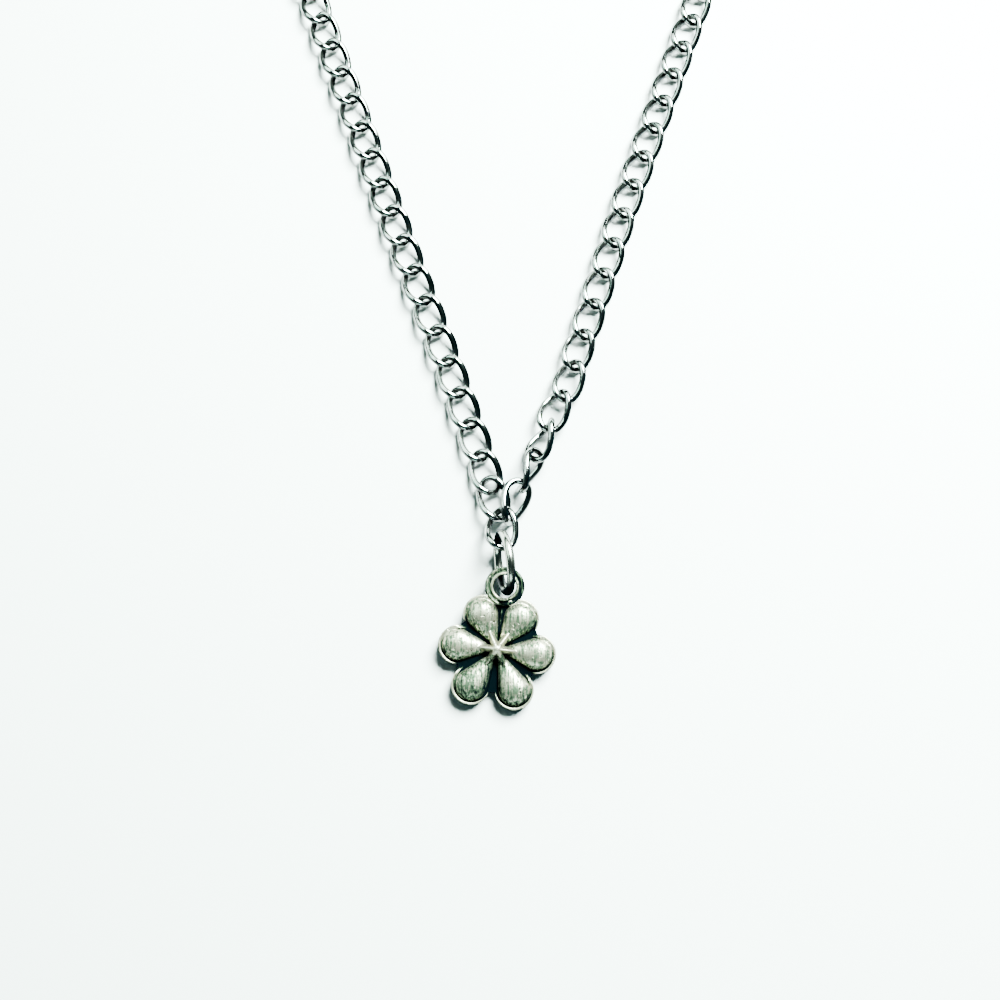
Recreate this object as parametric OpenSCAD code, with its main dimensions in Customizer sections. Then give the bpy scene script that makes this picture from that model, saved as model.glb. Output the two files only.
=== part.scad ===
// A cast six-petal flower charm on a jump ring and a curb chain, lying flat.
// Millimetres. Z is up, and the surface that it all lies on is Z = 0. The flower is at the
// -Y end, the chain's loop runs back towards +Y, and the origin is under the loop's middle.

/* [Flower] */
// Distance from the flower's centre to the tips of the two petals beside the eyelet
upper_petal_reach = 5.9; // [5.7:0.1:6]
// Distance from the flower's centre to the tips of the two side petals
side_petal_reach = 6.1; // [5.9:0.1:6.3]
// Distance from the flower's centre to the tips of the two lower petals
lower_petal_reach = 6.5; // [6.3:0.1:6.7]
// Radius of a petal's round end
petal_end_r = 2; // [1.85:0.05:2.05]
// Thickness of the dark web that joins the petals
web_t = 0.95; // [0.7:0.05:1.2]
// Height of the thin rim round each petal, above the back
rim_h = 1.3; // [1.2:0.05:1.5]
// Height of a petal's dome, above the back
dome_h = 2.05; // [1.8:0.05:2.3]
// Height of the star at the flower's centre, above the back
star_h = 2.45; // [2.2:0.05:2.6]

/* [Eyelet] */
// Radius of the eyelet's hole
eyelet_hole_r = 1.2; // [1.18:0.01:1.24]
// Width of the eyelet's wall
eyelet_wall = 0.87; // [0.77:0.02:0.89]
// Thickness of the eyelet, front to back
eyelet_t = 0.95; // [0.85:0.05:1]
// Distance from the flower's centre to the eyelet's centre
eyelet_reach = 6.5; // [6.46:0.01:6.54]

/* [Jump ring] */
// Radius of the ring, to the middle of its wire
ring_r = 3; // [2.95:0.01:3.02]
// Thickness of the ring's wire
ring_wire = 0.88; // [0.8:0.02:0.9]

/* [Chain] */
// Thickness of the chain's wire
chain_wire = 0.7; // [0.6:0.02:0.7]
// Width of a link, outside
link_w = 3.6; // [3.52:0.02:3.62]
// Length of a link, outside
link_l = 5.36; // [5.34:0.02:5.5]
// Distance along the chain from one link to the next
link_pitch = 3.75; // [3.7:0.01:3.75]
// Angle that each end of a link is turned through, so that the chain lies flat
link_twist = 36; // [34:1:40]
// Links on each side of the centre link
side_links = 58; // [56:1:60]
// Links on each side that bend round to the clasp
bend_links = 21; // [20:1:22]

/* [Clasp] */
// Radius of each of the clasp's eyes, to the middle of its wire
eye_r = 1.3; // [1.2:0.05:1.35]
// Thickness of the wire of the clasp's eyes
eye_wire = 0.6; // [0.5:0.05:0.6]
// Radius of the clasp's barrel
barrel_r = 0.85; // [0.6:0.05:0.85]

/* [Hidden] */

// How far the join of the chain's two sides lies from the loop's middle
join_at = [-0.56, -80.53, 0];

// The flower lies with its eyelet lifted by the ring's wire, and turned a little
flower_at = [-0.3, -15.95];
flower_heading = -7;
flower_tilt = 3;
petal_count = 6;
// Distance from the flower's centre to the edge of the web, in the gaps between petals
notch_reach = 4.45;
// The same in the gap that holds the eyelet, whose foot it carries
foot_reach = 5.2;
rim_w = 0.2;
groove_w = 0.15;
// Where a petal's narrow end starts
petal_root = 0.9;
star_ray_reach = 2;
star_ray_w = 0.26;
star_boss_r = 0.8;
// Height of the eyelet's back face above the flower's back
eyelet_z = 0.6;

// The jump ring stands on its wire between the eyelet and the centre link
ring_at = [0.43, -7.3];
ring_heading = 7.8;
ring_lean = 101;

// Poses of the links near the join: [x, y, z, heading, pitch, roll]
centre_pose = [0.15, -3.47, 1.86, 1, -17.3, -9.6];
left_near = [
    [-0.7, -0.08, 0.98, 16.2, -5.1, 4.3],
    [-1.56, 2.84, 0.85, 18, -0.2, -0.6]];
right_near = [
    [1.51, -0.54, 1.66, -19.4, 2.5, -140.8],
    [3.14, 2.79, 1.77, -22.1, -0.8, -105.2],
    [4.55, 6.23, 1.63, -25.2, -0.5, -52.3],
    [5.9, 9.63, 1.26, -22.5, -2.4, -16.1],
    [7.5, 13.06, 1.08, -18.8, -3.8, -8.4],
    [8.56, 16.69, 0.9, -19.3, -0.6, -3]];
// Runs of the rest of each side's links: [first link, heading, slack added to the pitch]
left_runs = [[0, 19, 0], [5, 20.4, 0.09], [9, 19.7, 0]];
right_runs = [[0, -17.6, 0.09], [10, -19.3, 0]];
// Turn of the clasp's eyes, against that of the links' ends, and their slack in the links
eye_turn = 25;
eye_slack = 0.6;

link_square = 2.3;
link_turns = 10;
link_sides = 5;
centre_turns = 12;
centre_sides = 6;
centre_w = 3.72;
centre_l = 5.2;
centre_twist = 34;
round_fn = 64;
wire_fn = 24;

function unit(v) = v / norm(v);
function ahead(heading) = [-sin(heading), cos(heading)];
function signed_power(v, power) = sign(v) * pow(abs(v), power);

// A point on the middle of a link's wire: an oval whose two ends turn opposite ways
function link_middle(t, w, l, twist) =
    let (x = w * signed_power(cos(t), 2 / link_square),
         y = l * signed_power(sin(t), 2 / link_square),
         turn = twist * y / l)
    [x * cos(turn), y, x * sin(turn)];

// The points of a link's wire, one ring of points after another
function link_points(outer_w, outer_l, twist, turns, sides) =
    let (r = chain_wire / 2, w = outer_w / 2 - r, l = outer_l / 2 - r)
    [for (i = [0 : turns - 1])
        let (t = 360 * i / turns,
             at = link_middle(t, w, l, twist),
             along = unit(link_middle(t + 1, w, l, twist) - link_middle(t - 1, w, l, twist)),
             out = unit(cross(along, [0, 0, 1])),
             up = cross(out, along))
        for (k = [0 : sides - 1])
            let (a = 90 + 360 * k / sides)
            at + r * (cos(a) * out + sin(a) * up)];

// The triangles of one closed tube whose points start at the index first
function tube_faces(turns, sides, first) =
    [for (i = [0 : turns - 1], k = [0 : sides - 1])
        let (here = first + i * sides, next = first + ((i + 1) % turns) * sides, m = (k + 1) % sides)
        each [[here + k, next + m, next + k], [here + k, here + m, next + m]]];

// A point carried to a pose: rolled about Y, pitched about X, headed about Z, then moved
function placed(v, pose) =
    let (x = v[0] * cos(pose[5]) + v[2] * sin(pose[5]),
         z = v[2] * cos(pose[5]) - v[0] * sin(pose[5]),
         y = v[1] * cos(pose[4]) - z * sin(pose[4]))
    [x * cos(pose[3]) - y * sin(pose[3]) + pose[0],
     x * sin(pose[3]) + y * cos(pose[3]) + pose[1],
     v[1] * sin(pose[4]) + z * cos(pose[4]) + pose[2]];

chain_link = link_points(link_w, link_l, link_twist, link_turns, link_sides);
centre = link_points(centre_w, centre_l, centre_twist, centre_turns, centre_sides);

// Height of a link's middle when it lies on the surface
link_z = -min([for (v = chain_link) v[2]]);

// The last row of a side's runs that starts at link i or before it
function run_of(rows, i) =
    let (reached = [for (row = rows) if (row[0] <= i) row])
    reached[len(reached) - 1];

// Heading of link i: from the table, then turning evenly to face across the back of the loop
function heading(rows, across, i) =
    let (straight = side_links - bend_links, from = run_of(rows, min(i, straight))[1])
    i < straight ? from : from + (across - from) * (i - straight + 1) / bend_links;

function pitch_of(rows, i) = link_pitch + run_of(rows, i)[2];

function far_joint(pose) = [pose[0], pose[1]] + ahead(pose[3]) * link_pitch / 2;

// Poses of one side's links: the ones near the join, then each from the far joint of the last
function side_poses(near, rows, across) =
    concat(near, [for (i = len(near), joint = far_joint(near[i - 1]); i < side_links;
         joint = joint + pitch_of(rows, i) * ahead(heading(rows, across, i)), i = i + 1)
        let (h = heading(rows, across, i), middle = joint + ahead(h) * pitch_of(rows, i) / 2)
        [middle[0], middle[1], link_z, h, 0, 0]]);

left_poses = side_poses(left_near, left_runs, -90);
right_poses = side_poses(right_near, right_runs, 90);

module wire_loops(points, turns, sides, poses)
    polyhedron(
        points = [for (pose = poses) for (v = points) placed(v, pose)],
        faces = [for (n = [0 : len(poses) - 1]) each tube_faces(turns, sides, n * len(points))],
        convexity = 10);

// The flower's relief, in its own frame: the eyelet is at +Y and the back is at Z = 0

function petal_reach(petal) =
    petal % 3 == 0 ? side_petal_reach : petal < 3 ? upper_petal_reach : lower_petal_reach;
function petal_middle(petal) = petal_reach(petal) - petal_end_r;

// Distance from the centre to the flower's edge at an angle off a petal's own line
function edge_reach(petal, off) =
    let (d = petal_middle(petal),
         across = petal_end_r * petal_end_r - pow(d * sin(off), 2),
         round_end = across > 0 ? d * cos(off) + sqrt(across) : 0,
         beside_eyelet = (petal == 1 && off > 0) || (petal == 2 && off < 0))
    max(round_end, beside_eyelet ? foot_reach : notch_reach);

// How far a point lies from the crest of a petal's dome: 0 on the crest, 1 at the dome's edge.
// A dome is as wide as the two lines from the flower's centre that touch its round end.
function off_crest(d, u, v) =
    let (end_w = petal_end_r - rim_w - groove_w,
         touch = d - end_w * end_w / d,
         w = u < touch
             ? u * end_w / sqrt(d * d - end_w * end_w)
             : sqrt(end_w * end_w - pow(min(0, u - d), 2)))
    norm([max(0, u - d), v]) / w;

// Height of the relief at a point u along and v across a petal's line
function relief(petal, u, v) =
    let (d = petal_middle(petal),
         r = norm([u, v]),
         off = off_crest(d, u, v),
         from_root = min(1, max(0, u - petal_root) / (d - petal_root)),
         crest = web_t + (dome_h - web_t) * (0.55 + 0.45 * from_root),
         dome = u > petal_root && off < 1 ? web_t + (crest - web_t) * sqrt(1 - off * off) : web_t,
         ray = r < star_ray_reach && abs(v) < star_ray_w ? star_h - 0.45 * r : 0,
         boss = r < star_boss_r ? star_h - 0.5 * pow(r / star_boss_r, 2) : 0)
    max(dome, ray, boss);

// Height of the rim, which fades where two petals meet
function rim_height(off) =
    let (fade = min(1, max(0, (28 - abs(off)) / 6)))
    web_t + (rim_h - web_t) * fade;

// Angles off each petal's line, and the rings of points from the centre to the edge
petal_offs = [-30, -27, -24, -20, -15, -8, 0, 8, 15, 20, 24, 27];
inner_parts = [0.06, 0.13, 0.2, 0.3, 0.42, 0.55, 0.68, 0.8, 0.9, 0.97];
edge_steps = [
    // distance in from the edge, part of the rim's height
    [rim_w + groove_w, 0],
    [rim_w, 1],
    [0.06, 1],
    [0, 0.7]];

spokes = [for (petal = [0 : petal_count - 1], off = petal_offs) [petal, off]];

function spoke_point(spoke, r, z) =
    let (a = spoke[0] * 60 + spoke[1])
    [r * cos(a), r * sin(a), z];

function relief_ring(part) =
    [for (spoke = spokes)
        let (r = part * (edge_reach(spoke[0], spoke[1]) - rim_w - groove_w))
        spoke_point(spoke, r, relief(spoke[0], r * cos(spoke[1]), r * sin(spoke[1])))];

function edge_ring(step) =
    [for (spoke = spokes)
        let (r = edge_reach(spoke[0], spoke[1]) - step[0])
        spoke_point(spoke, r, web_t + (rim_height(spoke[1]) - web_t) * step[1])];

module flower_relief() {
    count = len(spokes);
    rings = concat(
        [for (part = inner_parts) relief_ring(part)],
        [for (step = edge_steps) edge_ring(step)],
        [[for (spoke = spokes) spoke_point(spoke, edge_reach(spoke[0], spoke[1]), 0)]]);
    points = concat([[0, 0, star_h]], [for (ring = rings) each ring]);
    middle = [for (k = [0 : count - 1]) [0, 1 + (k + 1) % count, 1 + k]];
    bands = [for (i = [0 : len(rings) - 2], k = [0 : count - 1])
        let (here = 1 + i * count, next = here + count, m = (k + 1) % count)
        each [[here + k, here + m, next + m], [here + k, next + m, next + k]]];
    back = [[for (k = [0 : count - 1]) 1 + (len(rings) - 1) * count + k]];
    polyhedron(points = points, faces = concat(middle, bands, back), convexity = 10);
}

module eyelet() {
    outer_r = eyelet_hole_r + eyelet_wall;
    translate([0, eyelet_reach, eyelet_z])
        difference() {
            cylinder(h = eyelet_t, r = outer_r, $fn = round_fn);
            translate([0, 0, -1]) cylinder(h = eyelet_t + 2, r = eyelet_hole_r, $fn = round_fn);
        }
}

module flower() color([0.62, 0.63, 0.55]) {
    low_edge = (lower_petal_reach - petal_end_r) * sin(60 - flower_heading) + petal_end_r;
    translate(join_at + [flower_at[0], flower_at[1], low_edge * sin(flower_tilt)])
        rotate([flower_tilt, 0, 0])
            rotate([0, 0, flower_heading])
                union() {
                    flower_relief();
                    eyelet();
                }
}

module jump_ring() color([0.8, 0.79, 0.72])
    translate(join_at + [ring_at[0], ring_at[1], ring_r * sin(ring_lean) + ring_wire / 2])
        rotate([0, 0, ring_heading])
            rotate([0, ring_lean, 0])
                rotate_extrude($fn = round_fn)
                    translate([ring_r, 0]) circle(r = ring_wire / 2, $fn = wire_fn);

module centre_link() color([0.82, 0.84, 0.83])
    translate(join_at) wire_loops(centre, centre_turns, centre_sides, [centre_pose]);

module chain_left() color([0.82, 0.84, 0.83])
    translate(join_at) wire_loops(chain_link, link_turns, link_sides, left_poses);

module chain_right() color([0.82, 0.84, 0.83])
    translate(join_at) wire_loops(chain_link, link_turns, link_sides, right_poses);

// Centre of the clasp's eye beyond the last link of a side
function eye_at(pose) =
    let (beyond = (link_l - eye_wire) / 2 - chain_wire - eye_slack + eye_r,
         middle = [pose[0], pose[1]] + ahead(pose[3]) * beyond)
    [middle[0], middle[1], eye_r * sin(eye_turn) + eye_wire / 2];

module clasp_eye(turn)
    rotate([turn, 0, 0])
        rotate_extrude($fn = round_fn) translate([eye_r, 0]) circle(r = eye_wire / 2, $fn = wire_fn);

module clasp() color([0.8, 0.82, 0.81]) {
    left_eye = eye_at(left_poses[side_links - 1]);
    span = eye_at(right_poses[side_links - 1]) - left_eye;
    translate(join_at + left_eye)
        rotate([0, 0, atan2(span[1], span[0])])
            union() {
                clasp_eye(eye_turn);
                translate([norm(span), 0, 0]) clasp_eye(-eye_turn);
                translate([eye_r, 0, 0]) rotate([0, 90, 0])
                    cylinder(h = norm(span) - 2 * eye_r, r = barrel_r, $fn = round_fn);
            }
}

flower();
jump_ring();
centre_link();
chain_left();
chain_right();
clasp();
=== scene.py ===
from math import atan2, cos, hypot, pi, radians, sin, sqrt

import bmesh
import bpy
from bpy.props import FloatProperty, FloatVectorProperty, IntProperty, PointerProperty
from mathutils import Matrix, Vector


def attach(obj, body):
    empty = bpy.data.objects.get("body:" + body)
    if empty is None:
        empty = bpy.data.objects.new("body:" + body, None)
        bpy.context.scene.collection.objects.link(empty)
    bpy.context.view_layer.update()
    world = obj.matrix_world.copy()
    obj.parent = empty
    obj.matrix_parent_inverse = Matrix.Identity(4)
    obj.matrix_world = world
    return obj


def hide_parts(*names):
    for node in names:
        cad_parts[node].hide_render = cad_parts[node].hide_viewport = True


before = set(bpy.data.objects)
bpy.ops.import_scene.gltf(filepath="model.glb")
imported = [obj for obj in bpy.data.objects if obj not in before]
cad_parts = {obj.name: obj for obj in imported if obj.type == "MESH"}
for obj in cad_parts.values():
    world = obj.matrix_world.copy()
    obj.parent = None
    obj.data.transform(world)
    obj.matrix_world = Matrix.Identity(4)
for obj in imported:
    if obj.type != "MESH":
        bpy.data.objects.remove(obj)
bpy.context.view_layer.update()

bl_info = {
    "name": "Flower pendant necklace",
    "version": (1, 0, 0),
    "blender": (4, 5, 0),
    "location": "3D View > Sidebar > Necklace",
    "description": "A cast flower charm on a jump ring and a curb chain, lying flat",
    "category": "Add Mesh",
}

MM = 0.001

# Where the two sides of the chain join, and the camera looks, from the loop's middle
JOIN = Vector((-0.56, -80.53, 0.0)) * MM

# Poses of the links near the join: x, y, z in millimetres, heading, pitch and roll in degrees
CENTRE_POSE = (0.15, -3.47, 1.86, 1, -17.3, -9.6)
LEFT_NEAR = (
    (-0.7, -0.08, 0.98, 16.2, -5.1, 4.3),
    (-1.56, 2.84, 0.85, 18, -0.2, -0.6),
)
RIGHT_NEAR = (
    (1.51, -0.54, 1.66, -19.4, 2.5, -140.8),
    (3.14, 2.79, 1.77, -22.1, -0.8, -105.2),
    (4.55, 6.23, 1.63, -25.2, -0.5, -52.3),
    (5.9, 9.63, 1.26, -22.5, -2.4, -16.1),
    (7.5, 13.06, 1.08, -18.8, -3.8, -8.4),
    (8.56, 16.69, 0.9, -19.3, -0.6, -3),
)
# Runs of the rest of each side's links: first link, heading, slack added to the pitch
LEFT_RUNS = ((0, 19, 0), (5, 20.4, 0.09), (9, 19.7, 0))
RIGHT_RUNS = ((0, -17.6, 0.09), (10, -19.3, 0))
# Each side: its links near the join, its runs, its heading across the back of the loop
LEFT_SIDE = (LEFT_NEAR, LEFT_RUNS, -90)
RIGHT_SIDE = (RIGHT_NEAR, RIGHT_RUNS, 90)

# The flower and the ring: x and y from the join in millimetres, turns in degrees
FLOWER_AT = (-0.3, -15.95)
FLOWER_HEADING = -7.0
FLOWER_TILT = 3.0
RING_AT = (0.43, -7.3)
RING_HEADING = 7.8
RING_LEAN = 101.0


def length(name, description, millimetres):
    """A size that the sidebar shows as a length."""
    return FloatProperty(name=name, description=description, default=millimetres * MM,
                         unit="LENGTH", precision=5, min=0.0)


def colour(name, description, value):
    """A colour that the sidebar shows as a swatch."""
    return FloatVectorProperty(name=name, description=description, default=value,
                               subtype="COLOR", size=3, min=0.0, max=1.0)


def angle(name, description, degrees):
    """An angle that the sidebar shows in degrees."""
    return FloatProperty(name=name, description=description, default=radians(degrees),
                         subtype="ANGLE", unit="ROTATION")


class ChainSizes(bpy.types.PropertyGroup):
    wire: length("Wire", "Thickness of the chain's wire", 0.7)
    link_width: length("Link width", "Width of a link, outside", 3.6)
    link_length: length("Link length", "Length of a link, outside", 5.36)
    centre_width: length("Centre link width", "Width of the lowest link, outside", 3.72)
    centre_length: length("Centre link length", "Length of the lowest link, outside", 5.2)
    pitch: length("Pitch", "Distance from one link to the next", 3.75)
    twist: angle("Twist", "Angle that each end of a link is turned through", 36)
    centre_twist: angle("Centre link twist", "The same for the lowest link", 34)
    links: IntProperty(name="Links", description="Links on each side", default=58, min=30)
    bend_links: IntProperty(name="Bend links", default=21, min=8,
                            description="Links on each side that bend round the back")


class FlowerSizes(bpy.types.PropertyGroup):
    upper_reach: length("Upper petals",
                        "From the centre to the tips of the petals beside the eyelet", 5.9)
    side_reach: length("Side petals", "From the centre to the tips of the two side petals", 6.1)
    lower_reach: length("Lower petals", "From the centre to the tips of the two lower petals", 6.5)
    petal_end: length("Petal end", "Radius of a petal's round end", 2.0)
    web: length("Web", "Thickness of the web between the petals", 0.95)
    rim: length("Rim height", "Height of the rim round each petal", 1.3)
    dome: length("Dome height", "Height of a petal's dome", 2.05)
    star: length("Star height", "Height of the star at the centre", 2.45)
    eyelet_reach: length("Eyelet reach", "From the centre to the eyelet's centre", 6.5)
    eyelet_hole: length("Eyelet hole", "Radius of the eyelet's hole", 1.2)
    eyelet_wall: length("Eyelet wall", "Width of the eyelet's wall", 0.87)
    eyelet_low: length("Eyelet back", "Height of the eyelet's back face", 0.6)
    eyelet_high: length("Eyelet front", "Height of the eyelet's front face", 1.55)


class RingSizes(bpy.types.PropertyGroup):
    radius: length("Ring radius", "Radius of the jump ring, to the middle of its wire", 3.0)
    wire: length("Ring wire", "Thickness of the jump ring's wire", 0.88)


class ClaspSizes(bpy.types.PropertyGroup):
    eye: length("Eye radius", "Radius of each eye, to the middle of its wire", 1.3)
    eye_wire: length("Eye wire", "Thickness of the wire of the eyes", 0.6)
    barrel: length("Barrel radius", "Radius of the clasp's barrel", 0.85)
    slack: length("Slack", "Slack of the eyes in the last links", 0.6)
    eye_turn: angle("Eye turn", "Turn of the eyes against the links' ends", 25)


class Finishes(bpy.types.PropertyGroup):
    chain: colour("Chain", "Polished silver of the chain", (0.41, 0.405, 0.395))
    chain_dull: colour("Chain, dull", "Duller patches of the chain's silver", (0.20, 0.235, 0.215))
    ring: colour("Jump ring", "Warm silver of the jump ring", (0.42, 0.42, 0.37))
    worn: colour("Flower, worn", "Rubbed silver on the flower's high parts", (0.50, 0.465, 0.345))
    aged: colour("Flower, aged", "Green-grey silver on the flower's slopes", (0.054, 0.084, 0.050))
    # also the colour of the painted shade on the flower's walls and lower sides and on the wires
    recess: colour("Flower, recess", "Dark antiquing in the flower's recesses",
                   (0.0004, 0.0014, 0.0020))
    floor: colour("Floor", "Plain pale surface", (0.86, 0.875, 0.87))


class StageSizes(bpy.types.PropertyGroup):
    lens: FloatProperty(name="Lens", description="Focal length for a 36 mm sensor, in millimetres",
                        default=37.44, min=10.0)
    distance: length("Camera distance", "From the camera to the point that it looks at", 111.8)
    camera_tilt: angle("Camera tilt", "Angle of the view from straight down", 12)


# ---- materials

# Noises of the finishes: scale per metre, detail, roughness
DULL_PATCHES = (900.0, 4.0, 0.6)
DRAW_MARKS = (5200.0, 2.0, 0.5)
UNEVEN_FACE = (700.0, 2.0, 0.5)
BROAD_STAINS = (420.0, 4.0, 0.6)
FINE_STAINS = (2600.0, 5.0, 0.65)
SCRATCHES = (4800.0, 3.0, 0.6)
PITS = (3600.0, 1.0, 0.4)
FLOOR_CLOUDS = (9.0, 2.0, 0.5)
# How far the marks are drawn out: a smaller number along an axis makes them longer on it
DRAW_STRETCH = (1.0, 0.25, 1.0)
SCRATCH_STRETCH = (1.0, 0.08, 1.0)
SCRATCH_TURN = radians(4)
# The colour sockets of a mix node, which share their names with its other sockets
MIX_A, MIX_B, MIX_RESULT = 6, 7, 2


def new_material(name):
    """An empty node material with its output and shader."""
    material = bpy.data.materials.new(name)
    material.use_nodes = True
    tree = material.node_tree
    tree.nodes.clear()
    output = tree.nodes.new("ShaderNodeOutputMaterial")
    shader = tree.nodes.new("ShaderNodeBsdfPrincipled")
    tree.links.new(shader.outputs["BSDF"], output.inputs["Surface"])
    return material, tree, shader


def add_node(tree, kind, links=None, values=None, **settings):
    """A node with its settings, its socket values and what feeds it."""
    node = tree.nodes.new(kind)
    for key, value in settings.items():
        setattr(node, key, value)
    for key, value in (values or {}).items():
        node.inputs[key].default_value = value
    for key, source in (links or {}).items():
        tree.links.new(source, node.inputs[key])
    return node


def object_point(tree, scale=(1.0, 1.0, 1.0), turn=0.0):
    """Object coordinates, stretched and turned about Z."""
    place = tree.nodes.new("ShaderNodeTexCoord")
    mapped = add_node(tree, "ShaderNodeMapping", {"Vector": place.outputs["Object"]},
                      {"Scale": scale, "Rotation": (0.0, 0.0, turn)})
    return mapped.outputs["Vector"]


def antiquing_and_shade_mark(tree):
    """What the mesh marks on each vertex: antiquing in the flower's recesses, and painted shade on
    the flower and the wires.
    """
    return add_node(tree, "ShaderNodeAttribute", attribute_name="recess").outputs["Fac"]


def cloudy(tree, point, kind):
    """Soft noise of one of the kinds in the table above."""
    scale, detail, rough = kind
    return add_node(tree, "ShaderNodeTexNoise", {"Vector": point},
                    {"Scale": scale, "Detail": detail, "Roughness": rough}).outputs["Fac"]


def ramp(tree, source, span, out=(0.0, 1.0)):
    """A smooth change from one value of out to the other as source crosses its span."""
    return add_node(tree, "ShaderNodeMapRange", {"Value": source},
                    {"From Min": span[0], "From Max": span[1], "To Min": out[0], "To Max": out[1]},
                    interpolation_type="SMOOTHSTEP").outputs["Result"]


def calc(tree, operation, a, b):
    """A sum or product of two values."""
    node = tree.nodes.new("ShaderNodeMath")
    node.operation = operation
    for socket, value in zip(node.inputs, (a, b)):
        if isinstance(value, (int, float)):
            socket.default_value = value
        else:
            tree.links.new(value, socket)
    return node.outputs["Value"]


def total(tree, first, *others):
    """The sum of some values."""
    for other in others:
        first = calc(tree, "ADD", first, other)
    return first


def mix_colour(tree, part, a, b):
    """A mix of two colours by a part."""
    node = add_node(tree, "ShaderNodeMix", data_type="RGBA")
    pairs = ((node.inputs["Factor"], part), (node.inputs[MIX_A], a), (node.inputs[MIX_B], b))
    for socket, value in pairs:
        if isinstance(value, bpy.types.NodeSocket):
            tree.links.new(value, socket)
        else:
            socket.default_value = (*value, 1.0)
    return node.outputs[MIX_RESULT]


def join_metal(tree, shader, base, metallic, rough):
    """Give a metal's shader its colour, metalness and roughness, and no other shine."""
    for name, source in (("Base Color", base), ("Metallic", metallic), ("Roughness", rough)):
        tree.links.new(source, shader.inputs[name])
    shader.inputs["Specular IOR Level"].default_value = 0.0


def bumps(tree, shader, height, strength, distance):
    """Relief too fine for the mesh."""
    node = add_node(tree, "ShaderNodeBump", {"Height": height},
                    {"Strength": strength, "Distance": distance})
    tree.links.new(node.outputs["Normal"], shader.inputs["Normal"])


def polished_wire(name, colours, dull_part, rough):
    """Bright drawn wire: faint dull patches, fine draw marks and a slightly uneven face.

    The colours are the bright silver, the dull silver and the dark of the painted shade; dull_part
    is the most that the dull silver shows, and rough the least and the greatest roughness.
    """
    bright, dull, dark = colours
    material, tree, shader = new_material(name)
    point = object_point(tree)
    patches = cloudy(tree, point, DULL_PATCHES)
    marks = cloudy(tree, object_point(tree, DRAW_STRETCH), DRAW_MARKS)
    silver = mix_colour(tree, ramp(tree, patches, (0.42, 0.60), (0.0, dull_part)), bright, dull)
    # the painted shade darkens the silver first, and only the heaviest of it stops looking like
    # metal
    wire_shade = antiquing_and_shade_mark(tree)
    base = mix_colour(tree, ramp(tree, wire_shade, (0.15, 0.75)), silver, dark)
    join_metal(tree, shader, base, ramp(tree, wire_shade, (0.75, 1.0), (1.0, 0.0)),
               total(tree, ramp(tree, patches, (0.35, 0.7), rough),
                     ramp(tree, marks, (0.3, 0.8), (0.0, 0.05))))
    uneven = total(tree, cloudy(tree, point, UNEVEN_FACE), calc(tree, "MULTIPLY", marks, 0.08))
    bumps(tree, shader, uneven, strength=0.35, distance=0.1 * MM)
    return material


def antique_silver(finish):
    """Cast silver: rubbed cream high parts, green-grey slopes, near-black recesses and pits, and
    painted shade where the mesh marks it.
    """
    material, tree, shader = new_material("antique_silver")
    point = object_point(tree)
    broad = cloudy(tree, point, BROAD_STAINS)
    fine = cloudy(tree, point, FINE_STAINS)
    scratches = cloudy(tree, object_point(tree, SCRATCH_STRETCH, SCRATCH_TURN), SCRATCHES)
    pits = cloudy(tree, point, PITS)
    # how far the antiquing and the painted shade reach: all of it in the recesses, in patches on
    # the slopes
    shade_and_antiquing = total(tree, antiquing_and_shade_mark(tree), ramp(tree, broad, (0.35, 0.7), (0.10, 0.34)),
                 ramp(tree, fine, (0.34, 0.66), (-0.2, 0.22)),
                 ramp(tree, scratches, (0.38, 0.62), (-0.28, 0.32)))
    slopes = mix_colour(tree, ramp(tree, shade_and_antiquing, (0.0, 0.6)), finish.worn, finish.aged)
    stained_and_shaded = mix_colour(tree, ramp(tree, shade_and_antiquing, (0.66, 1.0)), slopes, finish.recess)
    dotted = mix_colour(tree, ramp(tree, pits, (0.65, 0.70), (0.0, 0.8)), stained_and_shaded, finish.recess)
    # the heaviest mark, antiquing and the painted shade on walls and edges, has no metal shine
    join_metal(tree, shader, dotted, ramp(tree, shade_and_antiquing, (0.75, 1.0), (0.95, 0.0)),
               ramp(tree, shade_and_antiquing, (0.0, 0.8), (0.34, 0.55)))
    height = total(tree, calc(tree, "MULTIPLY", fine, 0.5),
                   calc(tree, "MULTIPLY", scratches, 0.35),
                   ramp(tree, pits, (0.64, 0.70), (0.0, -0.8)))
    bumps(tree, shader, height, strength=0.5, distance=0.08 * MM)
    return material


def pale_floor(finish):
    """A plain pale surface with the faintest unevenness."""
    material, tree, shader = new_material("pale_floor")
    lighter = ramp(tree, cloudy(tree, object_point(tree), FLOOR_CLOUDS), (0.3, 0.7), (0.0, 0.03))
    base = mix_colour(tree, lighter, finish.floor, (1.0, 1.0, 1.0))
    tree.links.new(base, shader.inputs["Base Color"])
    shader.inputs["Roughness"].default_value = 0.75
    return material


# ---- shaping

def smooth(value):
    """0 up to 0, 1 from 1 on, and a smooth rise between."""
    value = min(1.0, max(0.0, value))
    return value * value * (3 - 2 * value)


def rise(value, start, over):
    """0 up to start, 1 once value is past it by over, and smooth between."""
    return smooth((value - start) / over)


def fall(value, end, over):
    """0 from end on, 1 where value is short of it by over, and smooth between."""
    return smooth((end - value) / over)


def between(pair, part):
    """The value at a part of the way from the first of a pair to the second."""
    return pair[0] + (pair[1] - pair[0]) * part


def cushion(off, profile):
    """1 in the middle and 0 from off = 1 on; the profile says how flat the top and sides are."""
    flat, steep = profile
    return max(0.0, 1 - off ** flat) ** steep


# ---- meshes

# Painted shade, standing for dark reflections, reaches further up a wire on the side that faces
# this way, across and along
SHADED_SIDE = (0.6, -0.8)
SHADE_LEAN = 0.3
# Where a wire's painted shade is thinned, this share of it gives way to a thin even grey
THINNED_SHARE = 0.8
THINNED_FILM = 0.28


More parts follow.
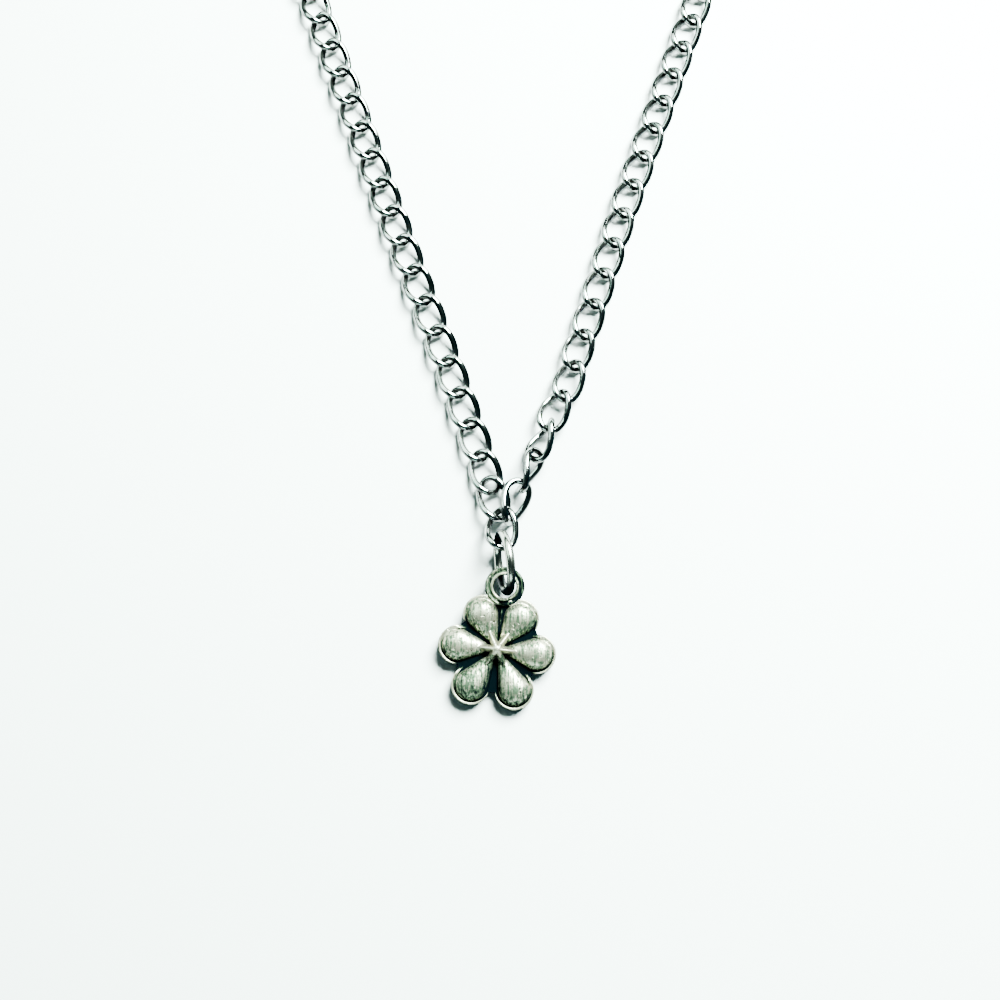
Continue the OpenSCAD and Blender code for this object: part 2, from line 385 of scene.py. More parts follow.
def painted_flank_shade(wires, unshaded=0.94, fade=0.36):
    """Mark painted shade on the wires: on their low flanks, most on the right, thinner where links
    cross.

    A wire is unmarked where it faces up by more than unshaded, and black where by less than
    unshaded - fade.
    """
    mark = wires.verts.layers.float.new("recess")
    rubbed = wires.verts.layers.float.get("rubbed")
    wires.normal_update()
    for vertex in wires.verts:
        normal = vertex.normal
        sideways = SHADED_SIDE[0] * normal.x + SHADED_SIDE[1] * normal.y
        low = unshaded - normal.z + SHADE_LEAN * sideways
        # the layer named rubbed marks where the painted shade is thinned
        thin = THINNED_SHARE * vertex[rubbed] if rubbed else 0.0
        vertex[mark] = smooth(low / fade) * (1 - thin) + THINNED_FILM * thin
    if rubbed:
        wires.verts.layers.float.remove(rubbed)
    return wires


def finished(name, mesh_builder, material, nodes):
    """Make one piece from a bmesh: smooth, riding on the body, standing for its CAD nodes."""
    mesh = bpy.data.meshes.new(name)
    mesh_builder.to_mesh(mesh)
    mesh_builder.free()
    mesh.polygons.foreach_set("use_smooth", [True] * len(mesh.polygons))
    mesh.materials.append(material)
    piece = bpy.data.objects.new(name, mesh)
    bpy.context.scene.collection.objects.link(piece)
    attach(piece, "root")
    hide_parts(*nodes)


def spun_wire(radius, wire, steps, sides):
    """A round ring of round wire about Z, at the origin."""
    ring = bmesh.new()
    section = bmesh.ops.create_circle(ring, cap_ends=False, segments=sides, radius=wire / 2)
    bmesh.ops.rotate(ring, verts=section["verts"], cent=(0, 0, 0),
                     matrix=Matrix.Rotation(pi / 2, 3, "X"))
    bmesh.ops.translate(ring, verts=section["verts"], vec=(radius, 0, 0))
    bmesh.ops.spin(ring, geom=ring.verts[:] + ring.edges[:], cent=(0, 0, 0), axis=(0, 0, 1),
                   angle=2 * pi, steps=steps, use_merge=True)
    bmesh.ops.recalc_face_normals(ring, faces=ring.faces)
    return ring


# Power of the oval that a link's wire follows: 2 is an ellipse, and more is squarer
LINK_SQUARE = 2.3
# The painted shade is thinner near a link's ends, where the next links cross: from this part of the
# way to its end, fully a little further
THINNED_FROM, THINNED_OVER = 0.7, 0.25
# How much thinner the painted shade is on a link's left side, which lies turned away from the
# shaded side
LEFT_THINNED = 0.6


def signed_power(value, power):
    """A power that keeps the sign of its value."""
    return (1 if value >= 0 else -1) * abs(value) ** power


def link_middle(turn, half_width, half_length, twist):
    """A point on the middle of a link's wire: an oval whose two ends turn opposite ways."""
    x = half_width * signed_power(cos(turn), 2 / LINK_SQUARE)
    y = half_length * signed_power(sin(turn), 2 / LINK_SQUARE)
    lean = twist * y / half_length
    return Vector((x * cos(lean), y, x * sin(lean)))


def shaped_link(wire, width, long, twist, steps, sides):
    """A spun ring drawn out into a twisted curb link, with its length along Y."""
    radius = 2 * wire
    link = spun_wire(radius, wire, steps, sides)
    oval = ((width - wire) / 2, (long - wire) / 2, twist)
    near = radians(1)
    # where the painted shade is thinned: near the ends, and on the left side
    rubbed = link.verts.layers.float.new("rubbed")
    for vertex in link.verts:
        x, y, z = vertex.co
        turn = atan2(y, x)
        vertex[rubbed] = max(rise(abs(sin(turn)), THINNED_FROM, THINNED_OVER),
                             LEFT_THINNED * smooth(0.5 - cos(turn)))
        along = (link_middle(turn + near, *oval) - link_middle(turn - near, *oval)).normalized()
        out = along.cross(Vector((0, 0, 1))).normalized()
        up = out.cross(along)
        vertex.co = link_middle(turn, *oval) + (hypot(x, y) - radius) * out + z * up
    bmesh.ops.recalc_face_normals(link, faces=link.faces)
    mesh = bpy.data.meshes.new("link_shape")
    link.to_mesh(mesh)
    link.free()
    return mesh


def posed(pose):
    """The matrix of a pose: rolled about Y, pitched about X, headed about Z, then moved."""
    x, y, z, heading, pitch, roll = pose
    turned = (Matrix.Rotation(radians(heading), 4, "Z") @ Matrix.Rotation(radians(pitch), 4, "X")
              @ Matrix.Rotation(radians(roll), 4, "Y"))
    return Matrix.Translation(JOIN + Vector((x, y, z)) * MM) @ turned


def ahead(heading):
    """The direction of a heading in degrees, on the surface: 0 is along Y."""
    return Vector((-sin(radians(heading)), cos(radians(heading))))


def run_of(runs, number):
    """The last of a side's runs that starts at this link or before it."""
    return [run for run in runs if run[0] <= number][-1]


def link_heading(runs, across, number, sizes):
    """Heading of a link: from the runs, then turning evenly to face across the back."""
    straight = sizes.links - sizes.bend_links
    last = run_of(runs, min(number, straight))[1]
    if number < straight:
        return last
    return last + (across - last) * (number - straight + 1) / sizes.bend_links


def side_poses(side, rest_z, sizes):
    """Poses of a side's links: the ones near the join, then each from the last one's far joint."""
    near, runs, across = side
    poses = list(near)
    joint = Vector(near[-1][:2]) + ahead(near[-1][3]) * sizes.pitch / MM / 2
    for number in range(len(near), sizes.links):
        heading = link_heading(runs, across, number, sizes)
        pitch = sizes.pitch / MM + run_of(runs, number)[2]
        middle = joint + ahead(heading) * pitch / 2
        poses.append((middle.x, middle.y, rest_z / MM, heading, 0, 0))
        joint += ahead(heading) * pitch
    return poses


def chain_of(link_mesh, poses):
    """Links of one shape at their poses, in one mesh."""
    chain = bmesh.new()
    for pose in poses:
        before = len(chain.verts)
        chain.from_mesh(link_mesh)
        chain.verts.ensure_lookup_table()
        bmesh.ops.transform(chain, matrix=posed(pose), verts=chain.verts[before:])
    return chain


def lowest(mesh):
    """How far a mesh reaches below its own origin."""
    return -min(vertex.co.z for vertex in mesh.vertices)


# ---- the flower's relief, in its own frame: the eyelet at +Y, the back at z = 0

# Petals count from the right one anticlockwise: 1 and 2 are the upper ones, 4 and 5 the lower
PETALS = 6
PETAL_TURN = 2 * pi / PETALS
LOWER_PETALS = (4, 5)
# From the centre to the notches between the petals, and to the eyelet's foot
NOTCH_REACH = 4.45 * MM
FOOT_REACH = 5.2 * MM
# The rim fades out at this angle off a petal's line, and a groove runs inside it
RIM_WIDTH = 0.2 * MM
RIM_END, RIM_END_FADE = radians(28.5), radians(6)
GROOVE_WIDTH = 0.15 * MM
GROOVE_DEPTH = 0.2 * MM
# How far in from the edge polish and stains follow the rim and not the dome
NEAR_RIM = RIM_WIDTH + 2.5 * GROOVE_WIDTH
# The groove's middle and half its width, in widths of the dome
GROOVE_AT, GROOVE_SPREAD = 1.05, 0.12
# A dome begins this far from the centre, and its crest climbs from the root to the round end
DOME_FROM, DOME_FADE = 0.9 * MM, 0.9 * MM
PETAL_ROOT = 0.9 * MM
DOME_CREST = (0.45, 1.0)
DOME_PROFILE = (2.3, 0.58)
# The least half width of a dome, as other measures are divided by it
NARROWEST = 0.001 * MM
# The ridge in the gap below the eyelet, out from the centre
RIDGE_HEIGHT = 0.25 * MM
RIDGE_WIDTH = 0.15 * MM
RIDGE_FROM, RIDGE_TO, RIDGE_FADE = 2.2 * MM, 4.7 * MM, 1.0 * MM
# The star: its rays' reach and half their width at the root and the tip, and its boss
RAY_REACH = 2.5 * MM
RAY_ROOT, RAY_TIP = 0.518 * MM, 0.296 * MM
RAY_PROFILE = (2, 1)
BOSS_RADIUS = 0.72 * MM
BOSS_PROFILE = (3, 0.6)
# The pits between the star's rays
PIT_DEPTH = 0.45 * MM
PIT_REACH, PIT_FADE = 1.9 * MM, 0.7 * MM
# What stands less than this over the web counts as flat
FLAT = 0.05 * MM
# The edge of the front is rounded over this width, and painted black at its very outside, as shade
EDGE_ROUND = 0.06 * MM
EDGE_BLACK = 0.02 * MM

# Antiquing: how much a full recess and a rubbed high part hold; the full recess also paints shade
# on the side walls and the outer edge
BLACK, RUBBED = 1.3, -0.35
# It thins out up to this part of a dome's height
STAINED_PART = 0.35
# Rims and the star are rubbed where they stand this high over the web
RUBBED_RIM = 0.2 * MM
RUBBED_STAR = 0.35 * MM
# The star's two lower rays are painted darker, as shade
LOWER_RAY_SHADE = 0.35
# How sharply painted shade sets in between a dome's upper and lower sides, and how much painted
# light lifts a groove's antiquing on its upper side
SHADE_SIDE_EDGE = 0.6
GROOVE_PAINTED_LIGHT = 0.92
# On a dome's upper and lower side: stain of the slope, of the low parts and of the foot, lighter on
# the upper side and darker on the lower with painted light and shade
SLOPE_STAIN_AND_SHADE = (-0.12, 0.60)
LOW_STAIN_AND_SHADE = (0.3, 1.0)
FOOT_STAIN_AND_SHADE = (0.1, 1.0)
FOOT_FROM, FOOT_OVER = 0.9, 0.12
# What each petal holds all over, in the order of the petals
PETAL_STAINS = (-0.12, 0.16, 0.1, -0.1, 0.22, 0.12)


def petal_reach(petal, sizes):
    """From the centre to a petal's tip."""
    if petal % 3 == 0:
        return sizes.side_reach
    return sizes.lower_reach if petal in LOWER_PETALS else sizes.upper_reach


def by_eyelet(petal, off):
    """Whether an angle off a petal's own line lies towards the gap below the eyelet."""
    return (petal, off > 0) in ((1, True), (2, False))


def edge_reach(petal, off, sizes):
    """From the centre to the flower's edge, at an angle off a petal's own line."""
    middle = petal_reach(petal, sizes) - sizes.petal_end
    across = sizes.petal_end ** 2 - (middle * sin(off)) ** 2
    round_end = middle * cos(off) + sqrt(across) if across > 0 else 0.0
    return max(round_end, FOOT_REACH if by_eyelet(petal, off) else NOTCH_REACH)


def dome_width(u, middle, end_width):
    """Half the width of a petal's dome: two lines from the centre that touch its round end."""
    if u < middle - end_width ** 2 / middle:
        return max(NARROWEST, u * end_width / sqrt(middle ** 2 - end_width ** 2))
    return sqrt(end_width ** 2 - min(0.0, u - middle) ** 2)


def dome_height(u, v, out, middle, sizes):
    """Height of a petal's dome over the web, and how far off its crest: 1 at its foot."""
    end_width = sizes.petal_end - RIM_WIDTH - GROOVE_WIDTH
    off_crest = hypot(max(0.0, u - middle), v) / dome_width(u, middle, end_width)
    if u <= 0:
        return 0.0, off_crest
    crest = between(DOME_CREST, rise(u, PETAL_ROOT, middle - PETAL_ROOT))
    tall = (sizes.dome - sizes.web) * crest * cushion(off_crest, DOME_PROFILE)
    return tall * rise(out, DOME_FROM, DOME_FADE), off_crest


def star_heights(v, out, sizes):
    """Heights over the web of the star's ray on this petal and of its boss."""
    tall = sizes.star - sizes.web
    near_centre = max(0.0, 1 - out / RAY_REACH)
    width = between((RAY_TIP, RAY_ROOT), near_centre)
    ray = tall * sqrt(near_centre) * cushion(abs(v) / width, RAY_PROFILE)
    return ray, tall * cushion(out / BOSS_RADIUS, BOSS_PROFILE)


def ridge_height(petal, off, out):
    """Height over the web of the fine ridge in the gap below the eyelet."""
    if not by_eyelet(petal, off):
        return 0.0
    aside = out * sin(PETAL_TURN / 2 - abs(off)) / RIDGE_WIDTH
    return (RIDGE_HEIGHT * smooth(1 - aside) * rise(out, RIDGE_FROM, RIDGE_FADE)
            * fall(out, RIDGE_TO, RIDGE_FADE))


def lower_side(petal, u, v, middle):
    """How far a point faces the flower's lower side from its petal's crest: 1 straight down."""
    turn, along = petal * PETAL_TURN, max(0.0, u - middle)
    return -(along * sin(turn) + v * cos(turn)) / (hypot(along, v) or 1.0)


def dome_stain_and_shade(recess, petal, off_crest, lower_side_shade):
    """Antiquing on a dome, with painted light and shade: little on its upper side, most at its
    lower foot.
    """
    slope = between(SLOPE_STAIN_AND_SHADE, lower_side_shade) * off_crest ** 2 + PETAL_STAINS[petal]
    low = recess * between(LOW_STAIN_AND_SHADE, lower_side_shade) + min(slope, 0.0)
    foot = between(FOOT_STAIN_AND_SHADE, lower_side_shade) * rise(off_crest, FOOT_FROM, FOOT_OVER)
    return max(low, slope, foot)


def relief(petal, off, out, edge, sizes):
    """Height of the front at an angle off a petal's line, and the antiquing that it holds."""
    middle = petal_reach(petal, sizes) - sizes.petal_end
    # u along the petal's line and v across it
    u, v = out * cos(off), out * sin(off)
    dome, off_crest = dome_height(u, v, out, middle, sizes)
    ray, boss = star_heights(v, out, sizes)
    # painted light and shade: the upper side of each dome and groove is kept light, the lower side
    # dark
    lower_side_shade = smooth(0.5 + SHADE_SIDE_EDGE * lower_side(petal, u, v, middle))
    inwards = edge - out
    rim_part = fall(abs(off), RIM_END, RIM_END_FADE)
    rim_tall = (sizes.rim - sizes.web) * rim_part
    rim = rim_tall * fall(inwards, RIM_WIDTH + GROOVE_WIDTH / 2, GROOVE_WIDTH / 2)
    # on its upper side, kept light, the groove is filled up to the rim
    near_rim = inwards < NEAR_RIM
    shelf = rim_tall * (1 - lower_side_shade) if near_rim else 0.0
    raised = max(dome, ray, boss, rim, shelf, ridge_height(petal, off, out))
    height = sizes.web + raised
    if raised < FLAT:
        groove = smooth(1 - abs(off_crest - GROOVE_AT) / GROOVE_SPREAD)
        pit = PIT_DEPTH * fall(out, PIT_REACH, PIT_FADE) if ray + boss < FLAT else 0.0
        height -= max(GROOVE_DEPTH * lower_side_shade * groove, pit)
    recess = BLACK - BLACK * smooth(raised / (sizes.dome - sizes.web) / STAINED_PART)
    if dome > max(ray, boss, rim):
        recess = dome_stain_and_shade(recess, petal, off_crest, lower_side_shade)
    # painted light: on the upper side the groove's antiquing is lifted
    elif near_rim and rim < RUBBED_RIM:
        recess *= 1 - GROOVE_PAINTED_LIGHT * (1 - lower_side_shade) * rim_part
    elif boss > RUBBED_STAR or rim > RUBBED_RIM:
        recess = RUBBED
    elif ray > RUBBED_STAR:
        recess = LOWER_RAY_SHADE if petal in LOWER_PETALS else RUBBED
    return height, recess


# The front's mesh: spokes, and rings of edges inside the steps below
FLOWER_SPOKES, FLOWER_RINGS = 480, 96
# Steps in from the front's edge, in millimetres: close together over the rim and groove
EDGE_STEPS = (0.0, 0.03, 0.06, 0.12, 0.18, 0.22, 0.26, 0.30, 0.34, 0.38, 0.44, 0.52)
# Side wall and back: step in from the last loop and height, in millimetres
SIDE_STEPS = ((0.0, 0.55), (0.0, 0.15), (0.05, 0.03), (0.12, 0.0))


def shape_front(ring, mark, inset, part, sizes):
    """Set a ring of vertices on the relief, at a part of the way out to inset from the edge."""
    for vertex in ring:
        around = atan2(vertex.co.y, vertex.co.x) % (2 * pi)
        petal = int((around + PETAL_TURN / 2) // PETAL_TURN) % PETALS
        off = around - petal * PETAL_TURN
        if off > pi:
            off -= 2 * pi
        edge = edge_reach(petal, off, sizes)
        out = (edge - inset) * part
        height, recess = relief(petal, off, out, edge, sizes)
        if inset < EDGE_ROUND:
            height -= EDGE_ROUND * (1 - inset / EDGE_ROUND) ** 2
        vertex.co = (out * cos(around), out * sin(around), height)
        # painted shade: a black line along the very outside of the front
        vertex[mark] = BLACK if inset < EDGE_BLACK else recess


def grown_loop(mesh, loop):
    """Extrude a loop of edges where it is: the new vertices and the new loop."""
    grown = bmesh.ops.extrude_edge_only(mesh, edges=loop)["geom"]
    verts = [item for item in grown if isinstance(item, bmesh.types.BMVert)]
    fresh = set(verts)
    edges = [item for item in grown
             if isinstance(item, bmesh.types.BMEdge) and fresh.issuperset(item.verts)]
    return verts, edges


def flower_mesh(sizes):
    """A disc of rings of edges, shaped ring by ring into the relief, with a flat back."""
    flower = bmesh.new()
    mark = flower.verts.layers.float.new("recess")
    bmesh.ops.create_circle(flower, cap_ends=False, segments=FLOWER_SPOKES, radius=1.0)
    edge_loop = flower.edges[:]
    steps = [(inset * MM, 1.0) for inset in EDGE_STEPS]
    steps += [(EDGE_STEPS[-1] * MM, 1 - (number + 1) / FLOWER_RINGS)
              for number in range(FLOWER_RINGS - 1)]
    shape_front(flower.verts, mark, *steps[0], sizes)
    loop = edge_loop
    for step in steps[1:]:
        verts, loop = grown_loop(flower, loop)
        shape_front(verts, mark, *step, sizes)
    middle = bmesh.ops.contextual_create(flower, geom=loop)["faces"]
    bmesh.ops.poke(flower, faces=middle)
    loop = edge_loop
    for inset, height in SIDE_STEPS:
        verts, loop = grown_loop(flower, loop)
        for vertex in verts:
            out = hypot(vertex.co.x, vertex.co.y)
            scale = (out - inset * MM) / out
            vertex.co = (vertex.co.x * scale, vertex.co.y * scale, height * MM)
            # the side wall and back are marked black: painted shade as well as antiquing
            vertex[mark] = BLACK
    bmesh.ops.contextual_create(flower, geom=loop)
    add_eyelet(flower, mark, sizes)
    bmesh.ops.recalc_face_normals(flower, faces=flower.faces)
    # tilted about its lower end, which stays on the surface
    below = (sizes.petal_end
             + (sizes.lower_reach - sizes.petal_end) * sin(radians(60 - FLOWER_HEADING)))
    lift = Vector((0, 0, below * sin(radians(FLOWER_TILT))))
    place = (Matrix.Translation(JOIN + Vector((*FLOWER_AT, 0)) * MM + lift)
             @ Matrix.Rotation(radians(FLOWER_TILT), 4, "X")
             @ Matrix.Rotation(radians(FLOWER_HEADING), 4, "Z"))
    bmesh.ops.transform(flower, matrix=place, verts=flower.verts)
    return flower


# The eyelet's section: part of the wall's width, part of its thickness, recess; the walls' dark
# recess is painted shade as well as antiquing
EYELET_SECTION = (
    (0.00, 0.25, 1.0), (0.00, 0.80, 0.9), (0.05, 0.92, 0.1), (0.14, 1.00, -0.3), (0.26, 0.98, -0.3),
    (0.36, 0.84, 0.3), (0.45, 0.72, 0.7), (0.56, 0.72, 0.7), (0.66, 0.84, 0.35), (0.78, 0.90, 0.3),
    (0.88, 0.86, 0.4), (0.96, 0.72, 0.8), (1.00, 0.55, 1.0), (1.00, 0.25, 1.0), (0.92, 0.06, 0.9),
    (0.80, 0.00, 0.8), (0.20, 0.00, 0.8), (0.05, 0.08, 0.9))
# How much painted shadow of the jump ring darkens the eyelet's right side
EYELET_RIGHT_SHADOW = 0.5


def add_eyelet(flower, mark, sizes):
    """The eyelet, spun from its section and set at the flower's top."""
    thick = sizes.eyelet_high - sizes.eyelet_low
    corners = []
    for across, up, recess in EYELET_SECTION:
        vertex = flower.verts.new((sizes.eyelet_hole + across * sizes.eyelet_wall, 0,
                                   sizes.eyelet_low + up * thick))
        vertex[mark] = recess
        corners.append(vertex)
    edges = [flower.edges.new(pair) for pair in zip(corners, corners[1:] + corners[:1])]
    before = set(flower.verts) - set(corners)
    bmesh.ops.spin(flower, geom=corners + edges, cent=(0, 0, 0), axis=(0, 0, 1),
                   angle=2 * pi, steps=96, use_merge=True)
    eyelet = [vertex for vertex in flower.verts if vertex not in before]
    # painted shadow of the jump ring on the eyelet's right side
    for vertex in eyelet:
        vertex[mark] += EYELET_RIGHT_SHADOW * smooth(0.5 + vertex.co.x / sizes.eyelet_hole)
    bmesh.ops.translate(flower, verts=eyelet, vec=(0, sizes.eyelet_reach, 0))


# Painted shadow on the ring's wire in the eyelet: below this height and this far down from the
# join, in millimetres, each with the width of its fade
IN_EYELET_TOP, IN_EYELET_TOP_FADE = 2.6, 0.8
IN_EYELET_FROM, IN_EYELET_FROM_FADE = -7.9, 0.5
IN_EYELET_SHADOW = 0.8


def darkened_in_eyelet(ring):
    """Add painted shadow where the ring's wire passes up through the eyelet."""
    mark = ring.verts.layers.float["recess"]
    for vertex in ring.verts:
        _, along, up = (vertex.co - JOIN) / MM
        inside = (fall(up, IN_EYELET_TOP, IN_EYELET_TOP_FADE)
                  * fall(along, IN_EYELET_FROM, IN_EYELET_FROM_FADE))
        vertex[mark] = max(vertex[mark], IN_EYELET_SHADOW * inside)
    return ring


# ---- operators

class NECKLACE_OT_flower(bpy.types.Operator):
    """Make the cast flower with its eyelet"""
    bl_idname = "necklace.flower"
    bl_label = "Make flower"

    def execute(self, context):
        scene = context.scene
        finished("flower_casting", flower_mesh(scene.necklace_flower),
                 antique_silver(scene.necklace_finishes), ["flower"])
        return {"FINISHED"}


class NECKLACE_OT_ring(bpy.types.Operator):
    """Make the jump ring that joins the flower to the chain"""
    bl_idname = "necklace.ring"
    bl_label = "Make jump ring"

    def execute(self, context):
        sizes, finish = context.scene.necklace_ring, context.scene.necklace_finishes
        silver = polished_wire("warm_silver_wire", (finish.ring, finish.aged, finish.recess),
                               dull_part=0.3, rough=(0.12, 0.22))
        ring = spun_wire(sizes.radius, sizes.wire, steps=144, sides=28)
        height = sizes.radius / MM * sin(radians(RING_LEAN)) + sizes.wire / MM / 2
        place = posed((*RING_AT, height, RING_HEADING, 0, RING_LEAN))
        bmesh.ops.transform(ring, matrix=place, verts=ring.verts)
        ring = darkened_in_eyelet(painted_flank_shade(ring, unshaded=0.82, fade=0.45))
        finished("jump_ring_wire", ring, silver, ["jump_ring"])
        return {"FINISHED"}


class NECKLACE_OT_chain(bpy.types.Operator):
    """Make both sides of the curb chain and its centre link"""
    bl_idname = "necklace.chain"
    bl_label = "Make chain"

    def execute(self, context):
        sizes, finish = context.scene.necklace_chain, context.scene.necklace_finishes
        silver = polished_wire("polished_silver_wire",
                               (finish.chain, finish.chain_dull, finish.recess),
                               dull_part=0.85, rough=(0.05, 0.12))
        link = shaped_link(sizes.wire, sizes.link_width, sizes.link_length, sizes.twist,
                           steps=48, sides=16)
        centre = shaped_link(sizes.wire, sizes.centre_width, sizes.centre_length,
                             sizes.centre_twist, steps=72, sides=20)
        for name, shape, poses, node in (
                ("left_links", link, side_poses(LEFT_SIDE, lowest(link), sizes), "chain_left"),
                ("right_links", link, side_poses(RIGHT_SIDE, lowest(link), sizes), "chain_right"),
                ("centre_link_wire", centre, [CENTRE_POSE], "centre_link")):
            finished(name, painted_flank_shade(chain_of(shape, poses)), silver, [node])
        for shape in (link, centre):
            bpy.data.meshes.remove(shape)
        return {"FINISHED"}


# The clasp's barrel has its two sharp edges rounded: sharper than this, in radians
SHARP_EDGE = 1.0
BARREL_ROUND = 0.25 * MM


class NECKLACE_OT_clasp(bpy.types.Operator):
    """Make the plain clasp at the back of the loop"""
    bl_idname = "necklace.clasp"
    bl_label = "Make clasp"

    def execute(self, context):
        chain, sizes = context.scene.necklace_chain, context.scene.necklace_clasp
        finish = context.scene.necklace_finishes
        silver = polished_wire("clasp_silver", (finish.chain, finish.chain_dull, finish.recess),
                               dull_part=0.5, rough=(0.08, 0.18))
        # from the middle of each side's last link to the clasp's eye in it
        beyond = ((chain.link_length - sizes.eye_wire) / 2 - chain.wire
                  - sizes.slack + sizes.eye) / MM
        ends = []
        for side in (LEFT_SIDE, RIGHT_SIDE):
            last = side_poses(side, 0.0, chain)[-1]
            ends.append((Vector(last[:2]) + ahead(last[3]) * beyond) * MM)
        span = ends[1] - ends[0]
        clasp = bmesh.new()
        for along, turn in ((0.0, sizes.eye_turn), (span.length, -sizes.eye_turn)):
            eye = spun_wire(sizes.eye, sizes.eye_wire, steps=64, sides=16)
            bmesh.ops.rotate(eye, verts=eye.verts, cent=(0, 0, 0),
                             matrix=Matrix.Rotation(turn, 3, "X"))
            bmesh.ops.translate(eye, verts=eye.verts, vec=(along, 0, 0))
            shape = bpy.data.meshes.new("eye_shape")
            eye.to_mesh(shape)
            eye.free()
            clasp.from_mesh(shape)
            bpy.data.meshes.remove(shape)
        before = set(clasp.verts)
        barrel = bmesh.ops.create_cone(clasp, cap_ends=True, segments=64, radius1=sizes.barrel,
                                       radius2=sizes.barrel,
                                       depth=span.length - 2 * sizes.eye)["verts"]
        turned = Matrix.Translation((span.length / 2, 0, 0)) @ Matrix.Rotation(pi / 2, 4, "Y")
        bmesh.ops.transform(clasp, matrix=turned, verts=barrel)
        rims = [edge for edge in clasp.edges
                if edge.verts[0] not in before and len(edge.link_faces) == 2
                and edge.calc_face_angle() > SHARP_EDGE]
        bmesh.ops.bevel(clasp, geom=rims, offset=BARREL_ROUND, offset_type="OFFSET", segments=4,
                        profile=0.5, affect="EDGES", material=-1)
        height = sizes.eye * sin(sizes.eye_turn) + sizes.eye_wire / 2
        place = (Matrix.Translation(JOIN + Vector((*ends[0], height)))
                 @ Matrix.Rotation(atan2(span.y, span.x), 4, "Z"))
        bmesh.ops.transform(clasp, matrix=place, verts=clasp.verts)
        bmesh.ops.recalc_face_normals(clasp, faces=clasp.faces)
        finished("clasp_barrel", painted_flank_shade(clasp), silver, ["clasp"])
        return {"FINISHED"}


# Lights round the join: name, width and depth in metres, watts, place in metres, tint
KEY_LIGHT = ("key_light", (0.14, 0.14), 14.3, (0.105, 0.15, 0.195), (0.80, 1.0, 0.92))
# Dim panels that only show in the metal, so the shadows stay as deep as the photograph's
PANELS = (
    ("left_panel", (0.30, 0.30), 2.6, (-0.27, 0.17, 0.30), (0.66, 1.0, 0.88)),
    ("back_panel", (0.40, 0.20), 2.4, (-0.05, 0.32, 0.26), (0.78, 1.0, 0.90)),
    ("front_panel", (0.30, 0.12), 1.3, (-0.04, -0.36, 0.16), (0.66, 1.0, 0.92)),
)
# The room's own faint light, and half the floor's width in metres
ROOM_COLOUR = (0.15, 0.60, 0.65, 1.0)
ROOM_LIGHT = 0.05
FLOOR_HALF = 1.5


def soft_light(name, size, power, away, tint):
    """A rectangular soft light that faces the join."""
    data = bpy.data.lights.new(name, "AREA")
    data.shape = "RECTANGLE"
    data.size, data.size_y = size
    data.energy = power
    data.color = tint
    light = bpy.data.objects.new(name, data)
    light.location = JOIN + Vector(away)
    light.rotation_euler = (JOIN - light.location).to_track_quat("-Z", "Y").to_euler()
    bpy.context.scene.collection.objects.link(light)
    return light


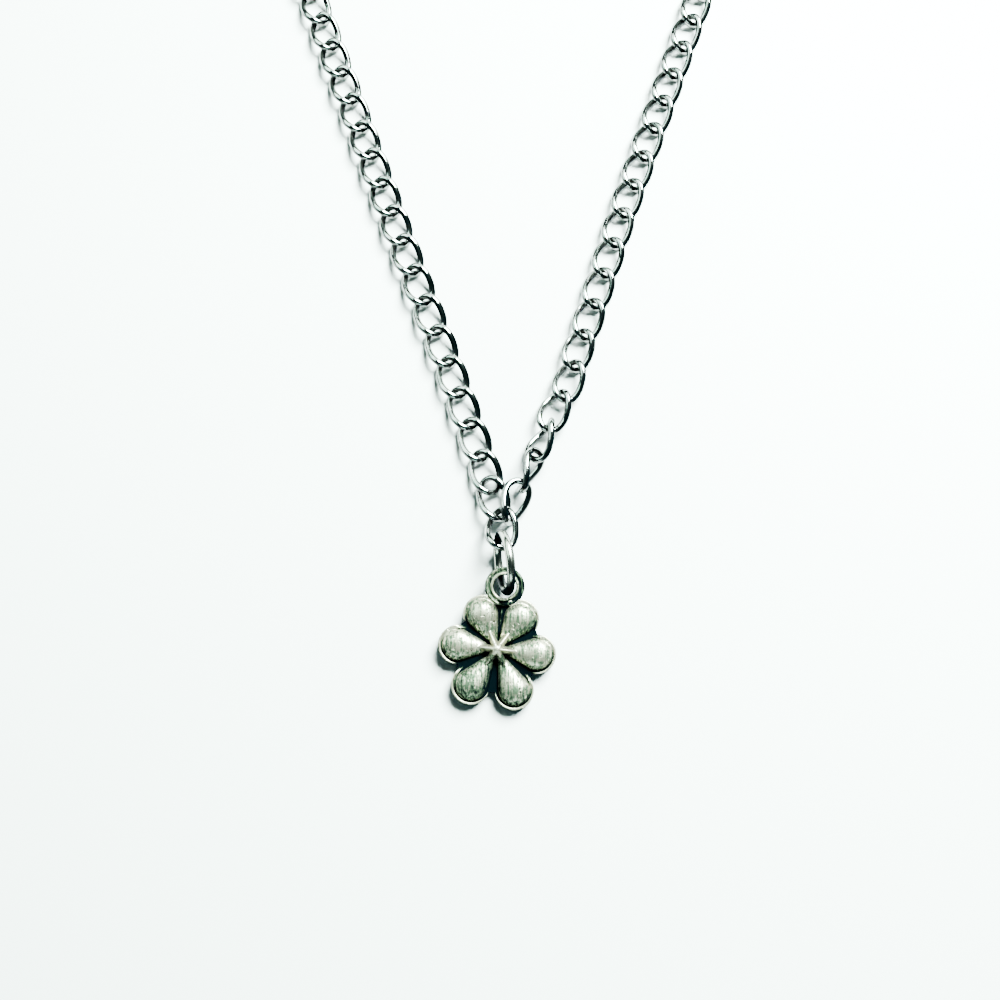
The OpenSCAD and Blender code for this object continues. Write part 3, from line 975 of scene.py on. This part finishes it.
class NECKLACE_OT_stage(bpy.types.Operator):
    """Make the pale floor, the soft lights and the camera"""
    bl_idname = "necklace.stage"
    bl_label = "Make stage"

    def execute(self, context):
        scene = context.scene
        sizes = scene.necklace_stage
        floor = bmesh.new()
        bmesh.ops.create_grid(floor, x_segments=1, y_segments=1, size=FLOOR_HALF)
        mesh = bpy.data.meshes.new("floor")
        floor.to_mesh(mesh)
        floor.free()
        mesh.materials.append(pale_floor(scene.necklace_finishes))
        surface = bpy.data.objects.new("floor", mesh)
        scene.collection.objects.link(surface)

        world = bpy.data.worlds.new("studio")
        world.use_nodes = True
        room = world.node_tree.nodes["Background"].inputs
        room["Color"].default_value = ROOM_COLOUR
        room["Strength"].default_value = ROOM_LIGHT
        scene.world = world
        soft_light(*KEY_LIGHT)
        for panel in PANELS:
            soft_light(*panel).visible_diffuse = False

        camera_data = bpy.data.cameras.new("camera")
        camera_data.lens = sizes.lens
        camera_data.sensor_width = 36.0
        camera_data.clip_start = 0.005
        camera = bpy.data.objects.new("camera", camera_data)
        away = Vector((0, -sin(sizes.camera_tilt), cos(sizes.camera_tilt)))
        camera.location = JOIN + away * sizes.distance
        camera.rotation_euler = (sizes.camera_tilt, 0, 0)
        scene.collection.objects.link(camera)
        scene.camera = camera
        return {"FINISHED"}


class NECKLACE_PT_panel(bpy.types.Panel):
    """Sizes, colours and the buttons that make each piece"""
    bl_idname = "NECKLACE_PT_panel"
    bl_label = "Flower pendant necklace"
    bl_space_type = "VIEW_3D"
    bl_region_type = "UI"
    bl_category = "Necklace"

    def draw(self, context):
        for title, operator, group in PARTS:
            box = self.layout.box()
            box.label(text=title)
            sizes = getattr(context.scene, group)
            for name in sizes.__annotations__:
                box.prop(sizes, name)
            if operator:
                box.operator(operator)


# What the sidebar lists: title, button, group of sizes
PARTS = (
    ("Flower", "necklace.flower", "necklace_flower"),
    ("Jump ring", "necklace.ring", "necklace_ring"),
    ("Chain", "necklace.chain", "necklace_chain"),
    ("Clasp", "necklace.clasp", "necklace_clasp"),
    ("Stage", "necklace.stage", "necklace_stage"),
    ("Finishes", "", "necklace_finishes"),
)
GROUPS = {
    "necklace_flower": FlowerSizes,
    "necklace_ring": RingSizes,
    "necklace_chain": ChainSizes,
    "necklace_clasp": ClaspSizes,
    "necklace_stage": StageSizes,
    "necklace_finishes": Finishes,
}
OPERATORS = (NECKLACE_OT_flower, NECKLACE_OT_ring, NECKLACE_OT_chain, NECKLACE_OT_clasp,
             NECKLACE_OT_stage)


def register():
    """Add the groups of sizes, the buttons and the panel to Blender."""
    for each in (*GROUPS.values(), *OPERATORS, NECKLACE_PT_panel):
        bpy.utils.register_class(each)
    for name, group in GROUPS.items():
        setattr(bpy.types.Scene, name, PointerProperty(type=group))


def unregister():
    """Take them out again."""
    for name in GROUPS:
        delattr(bpy.types.Scene, name)
    for each in reversed((*GROUPS.values(), *OPERATORS, NECKLACE_PT_panel)):
        bpy.utils.unregister_class(each)


def main():
    """Make the whole necklace."""
    register()
    bpy.ops.necklace.stage()
    bpy.ops.necklace.flower()
    bpy.ops.necklace.ring()
    bpy.ops.necklace.chain()
    bpy.ops.necklace.clasp()


if __name__ == "__main__":
    main()
